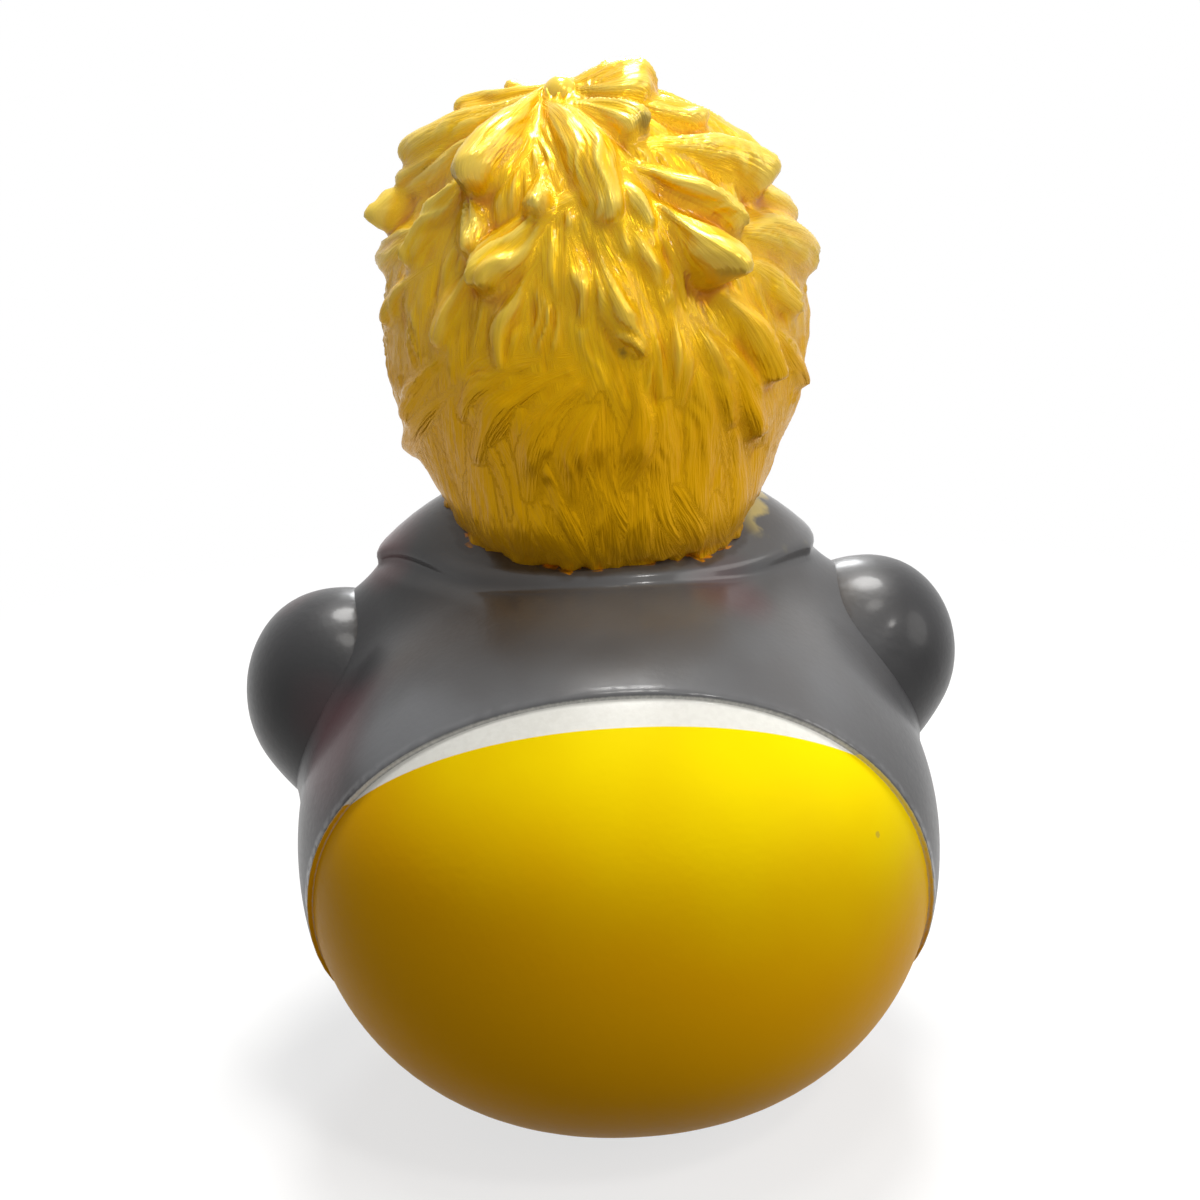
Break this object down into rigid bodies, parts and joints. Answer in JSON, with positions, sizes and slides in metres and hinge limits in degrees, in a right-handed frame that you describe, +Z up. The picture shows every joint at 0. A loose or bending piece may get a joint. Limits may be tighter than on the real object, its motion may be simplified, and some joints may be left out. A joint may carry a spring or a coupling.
{
  "type": "rubber duck",
  "caption": "Soft vinyl bath duck in a painted jacket and shirt, with tousled moulded hair, a broad bill, a round yellow rump and a flat base to stand on.",
  "frame": {"origin": "on the flat base, under the middle of the duck's length", "axes": "+Z up, -Y the way the duck faces, +X the duck's left"},
  "size_m": [0.0738, 0.0797, 0.0982],
  "materials": {
    "vinyl": "semi-gloss soft vinyl with painted hair, jacket, shirt and bill"
  },
  "bodies": {
    "root": {"duck": "vinyl"}
  },
  "joints": []
}
